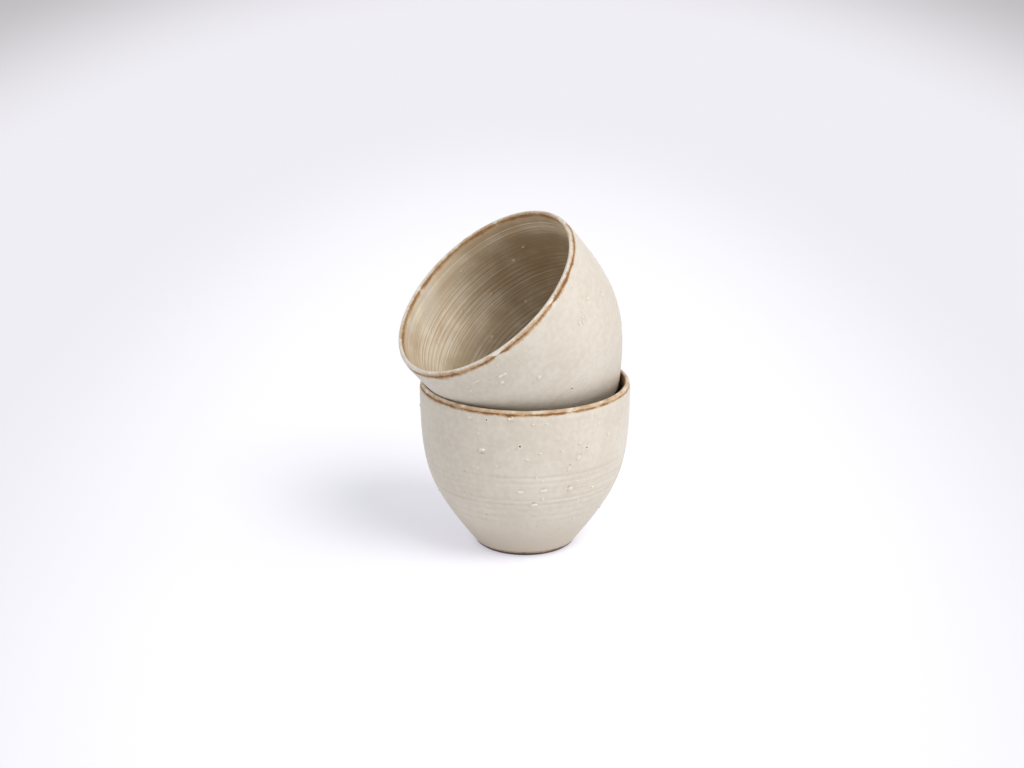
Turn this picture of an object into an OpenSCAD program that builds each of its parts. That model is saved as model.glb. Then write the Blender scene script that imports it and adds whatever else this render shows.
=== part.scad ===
// Two hand-thrown stoneware tea cups of one shape: one stands on its foot, the other leans in its mouth.
// Each cup is a thrown clay body under three coats of glaze, which leave the foot and both lip edges bare.

/* [Thrown body] */
// Diameter of the clay at the shoulder of the lip
rim_d = 83.4; // [74:0.2:94]
// Height of the clay from the table to the top of the lip
cup_h = 67.9; // [60:0.1:78]
// Diameter of the foot
foot_d = 39.4; // [34:0.2:46]
// Thickness of the clay at the lip
lip_t = 1.8; // [1.5:0.1:3.5]
// Thickness of the clay halfway up the wall
wall_t = 3; // [2:0.1:4.5]
// Thickness of the floor above the recess in the foot
floor_t = 4.6; // [3:0.1:8]

/* [Foot] */
// Height of the bare chamfer that runs round the foot
chamfer_h = 0.9; // [0.5:0.1:1.5]
// Width of the bare chamfer
chamfer_w = 1.1; // [0.6:0.1:2]
// Height of the upright band above the chamfer
band_h = 0.6; // [0.4:0.1:3]
// Diameter of the recess turned under the foot
recess_d = 28; // [20:0.5:31]
// Depth of the recess
recess_depth = 1.4; // [0.6:0.1:2.5]

/* [Wall curve] */
// Lean of the wall from upright where it leaves the foot
foot_flare = 38; // [30:0.5:46]
// Length of the curve's handle at the foot
foot_reach = 33; // [24:0.5:38]
// Lean of the wall from upright at the lip
rim_flare = 0.8; // [0:0.1:4]
// Length of the curve's handle at the lip
rim_reach = 33.5; // [24:0.5:38]
// Share of the wall curve below which the inside rounds into the floor
bowl_start = 0.4; // [0.32:0.01:0.48]
// How far the inside fills the corner between wall and floor
bowl_fullness = 0.62; // [0.5:0.01:0.72]

/* [Lip] */
// Height of the round on the outside of the lip
lip_outer_h = 1.3; // [0.6:0.1:2]
// Height of the round on the inside of the lip
lip_inner_h = 0.7; // [0.4:0.1:1.4]
// Place of the highest line across the lip, from 0 outside to 1 inside
lip_crown = 0.7; // [0.4:0.05:0.8]

/* [Glaze] */
// Thickness of the glaze
glaze_t = 0.3; // [0.2:0.05:0.5]
// Thickness to which the glaze thins where it ends
glaze_edge_t = 0.1; // [0.05:0.01:0.15]
// Distance over which the glaze thins
glaze_feather = 1.4; // [0.6:0.1:3]
// Height of the bare edge below the lip on the outside
bare_outside = 0.5; // [0.2:0.1:1.5]
// Height of the bare edge below the lip on the inside
bare_inside = 0.9; // [0.2:0.1:2]
// Turn of the lip's round that stays bare at each edge
bare_turn = 24; // [10:1:35]

/* [Potting marks] */
// Distance between the throwing rings on the inside
ring_pitch = 2.8; // [2:0.1:5]
// Depth of the throwing rings
ring_depth = 0.2; // [0.05:0.01:0.4]
// Smooth distance below the lip before the throwing rings start
ring_margin = 6; // [2:0.5:12]
// Distance between the turning lines on the outside
line_pitch = 3.5; // [2:0.1:5]
// Depth of the turning lines
line_depth = 0.14; // [0.05:0.01:0.3]
// Height of the middle of the turned band
line_z = 30.5; // [22:0.5:40]
// Height of the turned band
line_band = 22; // [8:0.5:26]

/* [Stack] */
// Lean of the upper cup from upright
stack_lean = 41.2; // [34:0.1:48]
// Compass direction in which the upper cup leans, 0 towards +X
stack_heading = -150; // [-180:1:180]
// Clearance between the two cups where they touch
seat_gap = 0.2; // [0.1:0.05:0.6]

/* [Hidden] */

clay_brown = "#9a6a45";
oatmeal = "#d8cfc0";
tan_glaze = "#cbbb9f";

// Radii and heights in the cup's section, a plane of [radius, height]
rim_r = rim_d / 2;
foot_r = foot_d / 2;
recess_r = recess_d / 2;
crown_r = rim_r - lip_crown * lip_t;
wall_foot_z = chamfer_h + band_h;
shoulder_z = cup_h - lip_outer_h;
inner_edge_z = cup_h - lip_inner_h;
floor_z = recess_depth + floor_t;

// Number of points that draw each curve before it is respaced, and each round of the lip
curve_steps = 32;
lip_steps = 4;

// Curves
function bezier(p, u) =
    pow(1 - u, 3) * p[0] + 3 * pow(1 - u, 2) * u * p[1] + 3 * (1 - u) * u * u * p[2] + pow(u, 3) * p[3];
function bezier_way(p, u) =
    pow(1 - u, 2) * (p[1] - p[0]) + 2 * (1 - u) * u * (p[2] - p[1]) + u * u * (p[3] - p[2]);
function unit(v) = v / norm(v);
function right_of(v) = [v.y, -v.x];
function reversed(path) = [for (i = [len(path) - 1 : -1 : 0]) path[i]];
function smooth(x) = let (c = min(max(x, 0), 1)) c * c * (3 - 2 * c);

// Length along a path at each of its points
function lengths(path, i = 0, sum = 0) =
    i == len(path) - 1 ? [sum] : concat([sum], lengths(path, i + 1, sum + norm(path[i + 1] - path[i])));

function path_length(path) = lengths(path)[len(path) - 1];

// The same path drawn again with evenly spaced points, about a given distance apart
function respaced(path, step) =
    let (
        along = lengths(path),
        total = path_length(path),
        count = ceil(total / step),
        r_at = [for (i = [0 : len(path) - 1]) [along[i], path[i].x]],
        z_at = [for (i = [0 : len(path) - 1]) [along[i], path[i].y]]
    )
    [for (k = [0 : count]) let (s = total * k / count) [lookup(s, r_at), lookup(s, z_at)]];

// Outward normal at a point of a path that runs with the clay on its left
function normal(path, i) =
    path[i].x == 0 ? [0, 1] : right_of(unit(path[min(i + 1, len(path) - 1)] - path[max(i - 1, 0)]));

// A path pushed along its normals by one depth for each point
function pushed(path, depths) = [for (i = [0 : len(path) - 1]) path[i] + depths[i] * normal(path, i)];

// The wall's outer curve, from the foot's upright band to the shoulder of the lip
foot_way = [sin(foot_flare), cos(foot_flare)];
rim_way = [sin(rim_flare), cos(rim_flare)];
wall_foot = [foot_r, wall_foot_z];
wall_rim = [rim_r, shoulder_z];
wall_curve = [wall_foot, wall_foot + foot_reach * foot_way, wall_rim - rim_reach * rim_way, wall_rim];

// Inside of the wall, which thickens downwards from the lip, and the bowl that takes it to the floor's middle
function inside_at(u) =
    bezier(wall_curve, u)
        - (lip_t + 2 * (wall_t - lip_t) * (1 - u)) * right_of(unit(bezier_way(wall_curve, u)));
bowl_rim = inside_at(bowl_start);
bowl_way = unit(bezier_way(wall_curve, bowl_start));
bowl_corner = bowl_rim - bowl_way * (bowl_rim.y - floor_z) / bowl_way.y;
floor_middle = [0, floor_z];
bowl_curve = [
    bowl_rim,
    bowl_rim + bowl_fullness * (bowl_corner - bowl_rim),
    floor_middle + bowl_fullness * (bowl_corner - floor_middle),
    floor_middle
];

// Rounds of the lip: outside up to its highest line, then inside down to its inner edge
function lip_outer(turn) = [crown_r + (rim_r - crown_r) * cos(turn), shoulder_z + lip_outer_h * sin(turn)];
function lip_inner(turn) =
    [crown_r + (crown_r - rim_r + lip_t) * cos(turn), inner_edge_z + lip_inner_h * sin(turn)];

// Stretches of the section, each from bare edge to bare edge
underside = [
    [0, recess_depth], [recess_r - recess_depth, recess_depth], [recess_r, 0], [foot_r - chamfer_w, 0]
];
outside_smooth = respaced(
    concat(
        [[foot_r, chamfer_h]],
        [for (k = [0 : curve_steps - 1]) bezier(wall_curve, k / curve_steps)],
        [wall_rim - bare_outside * rim_way]
    ),
    line_pitch / 2
);
crown = concat(
    [for (k = [0 : lip_steps]) lip_outer(bare_turn + (90 - bare_turn) * k / lip_steps)],
    [for (k = [1 : lip_steps]) lip_inner(90 + (90 - bare_turn) * k / lip_steps)]
);
inner_edge = [rim_r - lip_t, inner_edge_z];
inside_smooth = respaced(
    concat(
        [inner_edge - bare_inside * rim_way],
        [for (k = [1 : curve_steps]) inside_at(1 - (1 - bowl_start) * k / curve_steps)],
        [for (k = [1 : curve_steps]) bezier(bowl_curve, k / curve_steps)]
    ),
    ring_pitch / 2
);

// Depth of the potting marks, which alternate between full and nothing from point to point
function marks(path, depth, fade) = [for (i = [0 : len(path) - 1]) -depth * (i % 2) * fade[i]];
line_fade = [for (p = outside_smooth) smooth(2 - 4 * abs(p.y - line_z) / line_band)];
inside_length = path_length(inside_smooth);
ring_fade = [
    for (s = lengths(inside_smooth)) smooth(s / ring_margin) * smooth((inside_length - s) / ring_margin)
];
outside = pushed(outside_smooth, marks(outside_smooth, line_depth, line_fade));
inside = pushed(inside_smooth, marks(inside_smooth, ring_depth, ring_fade));

// Thickness of a coat along a path, thin at each end that is open
function coat_depths(path, start_open, end_open) =
    let (along = lengths(path), total = path_length(path))
    [
        for (s = along)
            let (
                from_start = start_open ? s : total,
                from_end = end_open ? total - s : total,
                share = smooth(min(from_start, from_end, glaze_feather) / glaze_feather)
            )
            glaze_edge_t + (glaze_t - glaze_edge_t) * share
    ];

// How the leaning cup seats: two contacts set its place, and both keep the clearance
glazed_crown = pushed(crown, coat_depths(crown, true, true));
glazed_outside = pushed(outside_smooth, coat_depths(outside_smooth, true, true));
outline = concat([[0, 0], [foot_r - chamfer_w, 0]], glazed_outside);
radius_at = [for (p = outline) [p.y, p.x]];

// Clearance of a section point from the cup's glazed outline, less than nothing inside it
function to_segment(p, a, b) =
    let (way = b - a, share = min(max((p - a) * way / (way * way), 0), 1)) norm(p - a - share * way);
function clearance(p) =
    let (
        apart = min([for (i = [1 : len(outline) - 1]) to_segment(p, outline[i - 1], outline[i])]),
        within = p.y > 0 && p.x < lookup(p.y, radius_at)
    )
    within ? -apart : apart;

// A point in the stack's own plane seen in the section of a cup whose foot stands at the seat
function in_leaning_cup(p, seat) =
    let (
        ahead = p.x - seat.x,
        above = p.z - seat.y,
        across = ahead * cos(stack_lean) - above * sin(stack_lean)
    )
    [norm([across, p.y]), ahead * sin(stack_lean) + above * cos(stack_lean)];

// Least clearance to the lower cup's lip on the side of a compass direction
contact_spread = 30;
contact_step = 2;
function lip_clearance(seat, direction) =
    min([
        for (offset = [0 : contact_step : contact_spread], q = glazed_crown)
            let (a = direction + offset) clearance(in_leaning_cup([q.x * cos(a), q.x * sin(a), q.y], seat))
    ]);
function contacts(seat) = [lip_clearance(seat, 0), lip_clearance(seat, 180)];

// Place at which both contacts have the clearance, found by a few steps along their slopes
settle_steps = 5;
settle_probe = 0.02;
function settled(seat, steps) =
    steps == 0 ? seat :
    let (
        now = contacts(seat),
        miss = now - [seat_gap, seat_gap],
        by_x = (contacts(seat + [settle_probe, 0]) - now) / settle_probe,
        by_z = (contacts(seat + [0, settle_probe]) - now) / settle_probe,
        area = by_x[0] * by_z[1] - by_z[0] * by_x[1],
        move = [by_z[0] * miss[1] - by_z[1] * miss[0], by_x[1] * miss[0] - by_x[0] * miss[1]] / area
    )
    settled(seat + move, steps - 1);
first_guess = [foot_r - crown_r - seat_gap, cup_h - foot_r * sin(stack_lean)];
seat = settled(first_guess, settle_steps);

module turned(section) {
    rotate_extrude($fn = 96) polygon(section);
}

module clay_body() {
    turned(concat(
        underside,
        outside,
        [wall_rim],
        crown,
        [inner_edge],
        inside
    ));
}

// One coat of glaze, from the clay's own surface outwards
module coat(clay_path, start_open, end_open) {
    turned(concat(pushed(clay_path, coat_depths(clay_path, start_open, end_open)), reversed(clay_path)));
}

module outer_glaze() {
    coat(outside, true, true);
}

module rim_glaze() {
    coat(crown, true, true);
}

module inner_glaze() {
    coat(inside, true, false);
}

// Carries a cup from the table into the lower cup's mouth
module leaning() {
    rotate([0, 0, stack_heading])
        translate([seat.x, 0, seat.y])
            rotate([0, stack_lean, 0])
                children();
}

module lower_clay_body() { color(clay_brown) clay_body(); }
module lower_outer_glaze() { color(oatmeal) outer_glaze(); }
module lower_rim_glaze() { color(oatmeal) rim_glaze(); }
module lower_inner_glaze() { color(tan_glaze) inner_glaze(); }
module upper_clay_body() { color(clay_brown) leaning() clay_body(); }
module upper_outer_glaze() { color(oatmeal) leaning() outer_glaze(); }
module upper_rim_glaze() { color(oatmeal) leaning() rim_glaze(); }
module upper_inner_glaze() { color(tan_glaze) leaning() inner_glaze(); }

lower_clay_body();
lower_outer_glaze();
lower_rim_glaze();
lower_inner_glaze();
upper_clay_body();
upper_outer_glaze();
upper_rim_glaze();
upper_inner_glaze();
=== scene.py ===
"""Two thrown stoneware tea cups of one shape, one standing and the other leaning in its mouth.

Each cup is a clay body under three coats of glaze. Every piece starts as a section drawn from point to
point, is spun about the cup's axis, gets its marks and grit, and is set down where its CAD node is.
"""

import math
import random

import bpy
import numpy as np
from mathutils import Matrix, Vector


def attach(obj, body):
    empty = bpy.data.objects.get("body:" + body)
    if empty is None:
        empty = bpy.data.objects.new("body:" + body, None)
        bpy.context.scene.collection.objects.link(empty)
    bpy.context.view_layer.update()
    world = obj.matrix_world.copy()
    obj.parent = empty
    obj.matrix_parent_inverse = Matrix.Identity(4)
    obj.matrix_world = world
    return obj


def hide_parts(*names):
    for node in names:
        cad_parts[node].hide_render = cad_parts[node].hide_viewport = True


bl_info = {
    "name": "Leaning tea cups",
    "version": (1, 0, 0),
    "blender": (4, 5, 0),
    "location": "View3D > Sidebar > Tea cups",
    "description": "Throws two stoneware tea cups, glazes them and leans one in the other's mouth",
    "category": "Add Mesh",
}

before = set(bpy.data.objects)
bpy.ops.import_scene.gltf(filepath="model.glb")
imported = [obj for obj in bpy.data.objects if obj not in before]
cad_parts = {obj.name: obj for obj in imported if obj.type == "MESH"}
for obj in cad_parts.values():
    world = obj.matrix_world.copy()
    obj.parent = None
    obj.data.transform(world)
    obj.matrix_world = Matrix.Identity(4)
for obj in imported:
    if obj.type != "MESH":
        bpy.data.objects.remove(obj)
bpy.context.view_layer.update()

CUPS = ("lower", "upper")


# Properties


def length(name, description, value):
    return bpy.props.FloatProperty(
        name=name, description=description, default=value, unit="LENGTH", precision=5)


def angle(name, description, degrees):
    return bpy.props.FloatProperty(
        name=name, description=description, default=math.radians(degrees), subtype="ANGLE")


def share(name, description, value):
    return bpy.props.FloatProperty(
        name=name, description=description, default=value, min=0, max=1, subtype="FACTOR")


def amount(name, description, value):
    return bpy.props.FloatProperty(name=name, description=description, default=value, min=0)


def count(name, description, value):
    return bpy.props.IntProperty(name=name, description=description, default=value, min=0)


def linear(level):
    """One channel of a colour as a screen shows it, from 0 to 255, made linear."""
    level /= 255
    return level / 12.92 if level <= 0.04045 else ((level + 0.055) / 1.055) ** 2.4


def colour(name, description, red, green, blue):
    return bpy.props.FloatVectorProperty(
        name=name, description=description, size=3, min=0, max=1, subtype="COLOR",
        default=(linear(red), linear(green), linear(blue)))


def direction(name, description, *toward):
    return bpy.props.FloatVectorProperty(
        name=name, description=description, default=toward, subtype="DIRECTION")


def point(name, description, *place):
    return bpy.props.FloatVectorProperty(
        name=name, description=description, default=place, unit="LENGTH", precision=5)


class TeaCupShape(bpy.types.PropertyGroup):
    """Sizes of the thrown body and of the glaze on it, the same for both cups"""

    rim_d: length("Rim diameter", "Diameter of the clay at the shoulder of the lip", 0.0834)
    cup_h: length("Height", "Height of the clay from the table to the top of the lip", 0.0679)
    foot_d: length("Foot diameter", "Diameter of the foot", 0.0394)
    lip_t: length("Lip thickness", "Thickness of the clay at the lip", 0.0018)
    wall_t: length("Wall thickness", "Thickness of the clay halfway up the wall", 0.003)
    floor_t: length("Floor thickness", "Thickness of the floor above the recess", 0.0046)
    chamfer_h: length("Chamfer height", "Height of the bare chamfer round the foot", 0.0009)
    chamfer_w: length("Chamfer width", "Width of the bare chamfer", 0.0011)
    band_h: length("Foot band", "Height of the upright band above the chamfer", 0.0006)
    recess_d: length("Recess diameter", "Diameter of the recess under the foot", 0.028)
    recess_depth: length("Recess depth", "Depth of the recess under the foot", 0.0014)
    foot_flare: angle("Foot flare", "Lean of the wall from upright where it leaves the foot", 38)
    foot_reach: length("Foot reach", "Length of the wall curve's handle at the foot", 0.033)
    rim_flare: angle("Rim flare", "Lean of the wall from upright at the lip", 0.8)
    rim_reach: length("Rim reach", "Length of the wall curve's handle at the lip", 0.0335)
    bowl_start: share("Bowl start", "Share of the wall below which the inside rounds into the floor", 0.4)
    bowl_fullness: share("Bowl fullness", "How far the inside fills the corner of the floor", 0.62)
    lip_outer_h: length("Outer lip round", "Height of the round on the outside of the lip", 0.0013)
    lip_inner_h: length("Inner lip round", "Height of the round on the inside of the lip", 0.0007)
    lip_crown: share("Lip crown", "Place of the highest line across the lip, from outside to inside", 0.7)
    glaze_t: length("Glaze thickness", "Thickness of the glaze", 0.0003)
    glaze_edge_t: length("Glaze edge", "Thickness to which the glaze thins where it ends", 0.0001)
    glaze_feather: length("Glaze feather", "Distance over which the glaze thins", 0.0014)
    bare_outside: length("Bare outside", "Height of the bare edge below the lip outside", 0.0005)
    bare_inside: length("Bare inside", "Height of the bare edge below the lip inside", 0.0009)
    bare_turn: angle("Bare turn", "Turn of the lip's round that stays bare at each edge", 24)
    foot_round: length("Foot round", "Width of the worn edges of the bare foot", 0.00025)


class TeaCupMarks(bpy.types.PropertyGroup):
    """Marks of the throwing and turning, and the grit and pits in the glaze"""

    ring_pitch: length("Ring pitch", "Distance between the throwing rings on the inside", 0.0019)
    ring_depth: length("Ring depth", "Depth of the throwing rings", 0.0002)
    ring_margin: length("Ring margin", "Smooth distance below the lip before the rings start", 0.004)
    line_pitch: length("Line pitch", "Distance between the turning lines on the outside", 0.0035)
    line_depth: length("Line depth", "Depth of the turning lines", 0.00022)
    line_width: length("Line width", "Width of one turning line", 0.0012)
    line_z: length("Line height", "Height of the middle of the turned band", 0.0305)
    line_band: length("Line band", "Height of the turned band", 0.022)
    unevenness: length("Unevenness", "How far the glaze swells and thins over the surface", 0.00006)
    grain_rise: length("Grain rise", "How far the largest grains of grit stand out", 0.00068)
    pit_depth: length("Pit depth", "Depth of the pinholes in the glaze", 0.0002)
    grains: count("Grains", "Scattered grains of grit on the outside of each cup", 75)
    inner_grains: count("Inner grains", "Scattered grains of grit on the inside of each cup", 14)
    pits: count("Pits", "Scattered pinholes on the outside of each cup", 9)
    contact_room: length("Contact room", "Distance from the lower lip that stays free of grit", 0.004)


class TeaCupFinish(bpy.types.PropertyGroup):
    """Colours and surfaces of the glaze and the clay"""

    oatmeal: colour("Oatmeal", "Glaze where it lies thick", 221, 213, 200)
    oatmeal_deep: colour("Deep oatmeal", "Glaze where it lies thin over the clay", 211, 201, 187)
    rim_cream: colour("Lip cream", "Glaze on top of the lip", 234, 226, 213)
    oatmeal_foot: colour("Foot oatmeal", "Glaze that ran thin towards the foot", 196, 183, 167)
    grit_cream: colour("Grit", "Glaze over a grain of grit", 233, 226, 213)
    # Glaze drawn thin round a grain of grit, and painted shade in the hollow beside it
    thin_glaze_and_shade: colour("Grit halo", "Glaze drawn thin around a grain of grit", 176, 158, 133)
    inner_cream: colour("Inner cream", "Inner glaze below the lip", 244, 233, 213)
    inner_tan: colour("Inner tan", "Inner glaze along the throwing rings", 202, 179, 146)
    # Painted shade inside the cups, deepening towards the floor and round one side
    inner_painted_shade: colour("Inner deep", "Inner glaze towards the floor", 130, 109, 80)
    iron_tan: colour("Iron tan", "Thin glaze where the iron begins to break through", 193, 161, 124)
    iron_brown: colour("Iron brown", "Lines where the iron breaks through at the lip", 136, 95, 58)
    # Both clay colours are darkened past the clay's own brown with painted contact shade at the foot
    clay_light_and_foot_shade: colour("Light clay", "Bare clay where it is rubbed", 84, 54, 37)
    clay_dark_and_foot_shade: colour("Dark clay", "Bare clay in its hollows", 52, 33, 24)
    pit_dark: colour("Pit", "Bottom of a pinhole", 92, 72, 52)
    glaze_roughness: share("Glaze roughness", "Roughness of the satin glaze", 0.5)
    clay_roughness: share("Clay roughness", "Roughness of the bare clay", 0.85)


class TeaCupStage(bpy.types.PropertyGroup):
    """Floor, lamps and camera"""

    # Painted light on the floor: palest round the cups, greying away from them as painted shade
    floor_near: colour("Near floor", "Floor around the cups", 210, 210, 209)
    floor_mid: colour("Middle floor", "Floor a little way from the cups", 196, 195, 194)
    floor_far: colour("Far floor", "Floor far from the cups", 157, 154, 152)
    floor_glow: colour("Floor glow", "Tint of the light that comes through the floor", 214, 214, 228)
    glow_share: share("Glow share", "Share of the floor's glow that lights the cups", 0.45)
    floor_size: length("Floor size", "Side of the floor", 16.0)
    fill_low: amount("Low fill", "Strength of the light from all round at the height of the cups", 1.45)
    fill_high: amount("High fill", "Strength of the light from all round overhead", 0.3)
    sky: amount("Softbox", "Strength of the wide light at the right", 0.72)
    sky_width: angle("Softbox width", "Width of the wide light as the cups see it", 76)
    sky_toward: direction("Softbox direction", "Way from the cups to the wide light", 0.76, -0.34, 0.56)
    key: amount("Key", "Strength of the light from the front right", 1.42)
    key_width: angle("Key width", "Width of the light from the front right as the cups see it", 32)
    key_toward: direction("Key direction", "Way from the cups to the key", 0.43, -0.44, 0.79)
    lens: amount("Lens", "Focal length of the camera in millimetres", 85.0)
    camera_aim: point("Camera aim", "Place at which the camera looks", -0.00517, 0, 0.06593)
    camera_distance: length("Camera distance", "Distance from the camera to its aim", 0.9642)
    camera_elevation: angle("Camera elevation", "Height of the camera above the level of its aim", 17.83)


GROUPS = {
    "tea_cup_shape": TeaCupShape,
    "tea_cup_marks": TeaCupMarks,
    "tea_cup_finish": TeaCupFinish,
    "tea_cup_stage": TeaCupStage,
}


# Section


def smooth(x):
    x = np.clip(x, 0, 1)
    return x * x * (3 - 2 * x)


def bezier(handles, u):
    a, b, c, d = (np.asarray(h, float) for h in handles)
    u = np.asarray(u, float)[:, None]
    return (1 - u) ** 3 * a + 3 * (1 - u) ** 2 * u * b + 3 * (1 - u) * u**2 * c + u**3 * d


def bezier_way(handles, u):
    a, b, c, d = (np.asarray(h, float) for h in handles)
    u = np.asarray(u, float)[:, None]
    way = (1 - u) ** 2 * (b - a) + 2 * (1 - u) * u * (c - b) + u**2 * (d - c)
    return way / np.linalg.norm(way, axis=1)[:, None]


def right_of(ways):
    return np.column_stack([ways[:, 1], -ways[:, 0]])


class Section:
    """The clay's section as one run of (radius, height) from the foot to the middle of the floor.

    The run goes up the outside, over the lip and down the inside.
    """

    curve_points = 240
    round_points = 25
    # How far the outer iron line lies past the middle of the bare edge, towards the lip
    line_shift = 0.0001
    # Half the distance over which a direction is taken
    probe = 0.0001

    def __init__(self, shape):
        self.shape = shape
        foot_r, rim_r = shape.foot_d / 2, shape.rim_d / 2
        crown_r = rim_r - shape.lip_crown * shape.lip_t
        shoulder_z = shape.cup_h - shape.lip_outer_h
        inner_z = shape.cup_h - shape.lip_inner_h
        floor_z = shape.recess_depth + shape.floor_t

        foot = np.array([foot_r, shape.chamfer_h + shape.band_h])
        rim = np.array([rim_r, shoulder_z])
        foot_way = np.array([math.sin(shape.foot_flare), math.cos(shape.foot_flare)])
        rim_way = np.array([math.sin(shape.rim_flare), math.cos(shape.rim_flare)])
        wall = (foot, foot + shape.foot_reach * foot_way, rim - shape.rim_reach * rim_way, rim)
        outer_wall = bezier(wall, np.linspace(0, 1, self.curve_points))
        outside = np.vstack([[foot_r, shape.chamfer_h], outer_wall])

        turns = np.linspace(0, math.pi / 2, self.round_points)[1:]
        lip_outside = np.column_stack(
            [crown_r + (rim_r - crown_r) * np.cos(turns),
             shoulder_z + shape.lip_outer_h * np.sin(turns)])
        lip_inside = np.column_stack(
            [crown_r - (crown_r - rim_r + shape.lip_t) * np.sin(turns),
             inner_z + shape.lip_inner_h * np.cos(turns)])

        u = np.linspace(1, shape.bowl_start, self.curve_points)
        thickness = shape.lip_t + 2 * (shape.wall_t - shape.lip_t) * (1 - u)
        inner_wall = bezier(wall, u) - thickness[:, None] * right_of(bezier_way(wall, u))
        bowl_rim, bowl_way = inner_wall[-1], bezier_way(wall, u[-1:])[0]
        corner = bowl_rim - bowl_way * (bowl_rim[1] - floor_z) / bowl_way[1]
        middle = np.array([0, floor_z])
        full = shape.bowl_fullness
        bowl = bezier(
            (bowl_rim, bowl_rim + full * (corner - bowl_rim), middle + full * (corner - middle), middle),
            np.linspace(0, 1, self.curve_points)[1:])

        self.run = np.vstack([outside, lip_outside, lip_inside, inner_wall, bowl])
        self.along = np.append(0, np.cumsum(np.linalg.norm(np.diff(self.run, axis=0), axis=1)))
        shoulder = len(outside) - 1
        crown = shoulder + len(turns)
        inner = crown + len(turns)
        turns = np.append(0, turns)
        self.outer_end = self.along[shoulder] - shape.bare_outside
        self.crown_start = np.interp(shape.bare_turn, turns, self.along[shoulder:crown + 1])
        self.crown_end = np.interp(math.pi / 2 - shape.bare_turn, turns, self.along[crown:inner + 1])
        self.inner_start = self.along[inner] + shape.bare_inside
        self.end = self.along[-1]
        self.outer_edge = (self.outer_end + self.crown_start) / 2
        self.outer_line = self.outer_edge + self.line_shift
        self.inner_edge = (self.crown_end + self.inner_start) / 2
        recess_top_r = shape.recess_d / 2 - shape.recess_depth
        self.underside = np.array([
            [0, shape.recess_depth],
            [recess_top_r, shape.recess_depth],
            [recess_top_r + shape.recess_depth, 0],
            [foot_r - shape.chamfer_w, 0],
        ])

    def at(self, places):
        """Points of the clay at distances along its run."""
        return np.column_stack([np.interp(places, self.along, self.run[:, k]) for k in (0, 1)])

    def place_at(self, height):
        """Distance along the run at which the outside reaches a height."""
        outside = self.along <= self.outer_edge
        return np.interp(height, self.run[outside, 1], self.along[outside])

    def outward(self, places):
        """Directions straight out of the clay at distances along its run."""
        ahead = self.at(np.minimum(places + self.probe, self.end))
        behind = self.at(np.maximum(places - self.probe, 0))
        ways = ahead - behind
        return right_of(ways / np.linalg.norm(ways, axis=1)[:, None])

    def coat(self, places, start, end):
        """Depth of a coat between two distances, thin at its ends but not at the floor's middle."""
        shape = self.shape
        to_end = np.full(len(places), self.end) if end == self.end else end - places
        thick = smooth(np.minimum(places - start, to_end) / shape.glaze_feather)
        return shape.glaze_edge_t + (shape.glaze_t - shape.glaze_edge_t) * thick

    def coat_section(self, places, backing_step, backing_first=False):
        """Points of a coat's face and of its backing on the clay, their distances and shares of depth."""
        start, end = places[0], places[-1]
        depth = self.coat(places, start, end)
        face = self.at(places) + depth[:, None] * self.outward(places)
        back = steps(start, end, backing_step)[::-1]
        halves = [(face, places, depth / self.shape.glaze_t), (self.at(back), back, np.zeros(len(back)))]
        if backing_first:
            halves.reverse()
        return [np.concatenate(values) for values in zip(*halves)]


# Distances between the points of a section: where glaze or clay covers it, and on each face that shows
HIDDEN_STEP = 0.003
EDGE_STEP = 0.00015
LIP_STEP = 0.0003
OUTSIDE_STEP = 0.0005
LINES_STEP = 0.0003
CROWN_STEP = 0.0001
INSIDE_STEP = 0.00025
# Steps in a whole turn of each piece
CLAY_TURN = 300
OUTSIDE_TURN = 340
CROWN_TURN = 600
INSIDE_TURN = 240


def steps(start, end, step):
    """Distances from start to end, evenly spaced and no further apart than a step."""
    return np.linspace(start, end, max(2, math.ceil((end - start) / step) + 1))


# Drawing and spinning

MERGE_DISTANCE = 1e-6
WEIGHT_LEVELS = 400


def pick(piece):
    """Selects one piece alone, for the operators that follow."""
    bpy.ops.object.select_all(action="DESELECT")
    piece.select_set(True)
    bpy.context.view_layer.objects.active = piece


def draw_section(name, points, closed):
    """A chain of vertices: a plane merged to one point, then extruded from point to point."""
    bpy.ops.object.select_all(action="DESELECT")
    bpy.ops.mesh.primitive_plane_add(size=0.001)
    piece = bpy.context.object
    piece.name = piece.data.name = name
    bpy.ops.object.mode_set(mode="EDIT")
    bpy.ops.mesh.select_mode(type="VERT")
    bpy.ops.mesh.select_all(action="SELECT")
    bpy.ops.mesh.merge(type="CENTER")
    bpy.ops.transform.translate(value=(points[0][0], 0, points[0][1]))
    for across, up in np.diff(points, axis=0):
        bpy.ops.mesh.extrude_vertices_move(TRANSFORM_OT_translate={"value": (across, 0, up)})
    bpy.ops.mesh.select_all(action="DESELECT")
    bpy.ops.object.mode_set(mode="OBJECT")
    drawn = len(piece.data.vertices)
    if drawn != len(points):
        raise RuntimeError(f"{name}: the section has {drawn} points, not {len(points)}")
    if closed:
        piece.data.vertices[0].select = piece.data.vertices[len(points) - 1].select = True
        bpy.ops.object.mode_set(mode="EDIT")
        bpy.ops.mesh.edge_face_add()
        bpy.ops.object.mode_set(mode="OBJECT")
    return piece


def face_values(mesh):
    """Middles, outward directions and areas of a mesh's faces."""
    middles, normals, areas = (np.zeros(width * len(mesh.polygons), np.float32) for width in (3, 3, 1))
    mesh.polygons.foreach_get("center", middles)
    mesh.polygons.foreach_get("normal", normals)
    mesh.polygons.foreach_get("area", areas)
    return middles.reshape(-1, 3).astype(float), normals.reshape(-1, 3).astype(float), areas.astype(float)


def enclosed_volume(mesh):
    middles, normals, areas = face_values(mesh)
    return ((middles * normals).sum(axis=1) * areas).sum() / 3


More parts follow.
